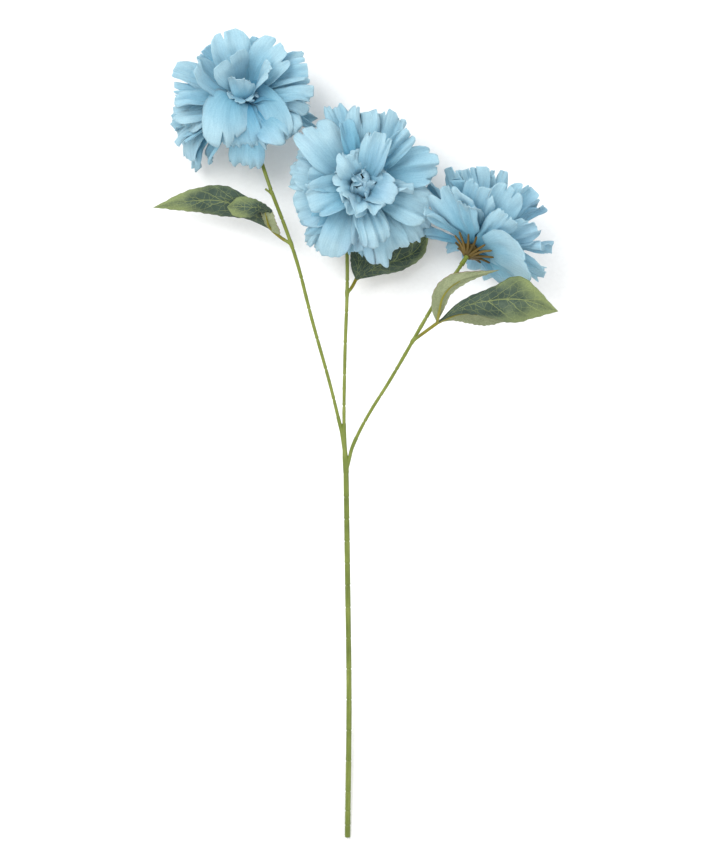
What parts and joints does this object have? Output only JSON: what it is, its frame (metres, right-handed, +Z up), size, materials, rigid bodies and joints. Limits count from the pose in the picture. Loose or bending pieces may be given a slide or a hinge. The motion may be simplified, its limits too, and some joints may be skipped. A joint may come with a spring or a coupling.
{
  "type": "artificial chrysanthemum stem",
  "caption": "Artificial chrysanthemum spray with ruffled powder-blue fabric heads and lobed leaves on a branching wired plastic stem.",
  "frame": {"origin": "middle of the footprint, on the surface the stem lies on", "axes": "+Y up the stem from the cut end to the flowers, +Z up, +X to the right of the flowers"},
  "size_m": [0.3304, 0.6644, 0.1084],
  "materials": {
    "petal": "matte printed polyester, powder blue",
    "leaf": "matte printed polyester, grey green with pale veins",
    "leaf_rib": "satin moulded plastic, olive",
    "calyx": "satin moulded plastic, olive brown",
    "sheath": "satin coated wire, moss green",
    "wire": "drawn steel core, hidden"
  },
  "bodies": {
    "root": {"branch_centre": "sheath", "branch_left": "sheath", "branch_right": "sheath", "calyx_centre": "calyx", "calyx_left": "calyx", "calyx_right": "calyx", "head_pin_centre": "calyx", "head_pin_left": "calyx", "head_pin_right": "calyx", "leaf_centre": "leaf", "leaf_left": "leaf", "leaf_rib_centre": "leaf_rib", "leaf_rib_left": "leaf_rib", "leaf_rib_right": "leaf_rib", "leaf_right": "leaf", "main_stem": "sheath", "petals_centre_1": "petal", "petals_centre_2": "petal", "petals_centre_3": "petal", "petals_centre_4": "petal", "petals_centre_5": "petal", "petals_centre_6": "petal", "petals_left_1": "petal", "petals_left_2": "petal", "petals_left_3": "petal", "petals_left_4": "petal", "petals_left_5": "petal", "petals_left_6": "petal", "petals_right_1": "petal", "petals_right_2": "petal", "petals_right_3": "petal", "petals_right_4": "petal", "petals_right_5": "petal", "petals_right_6": "petal", "stem_fork": "sheath", "stem_wire": "wire", "wire_centre": "wire", "wire_left": "wire", "wire_right": "wire"}
  },
  "joints": []
}
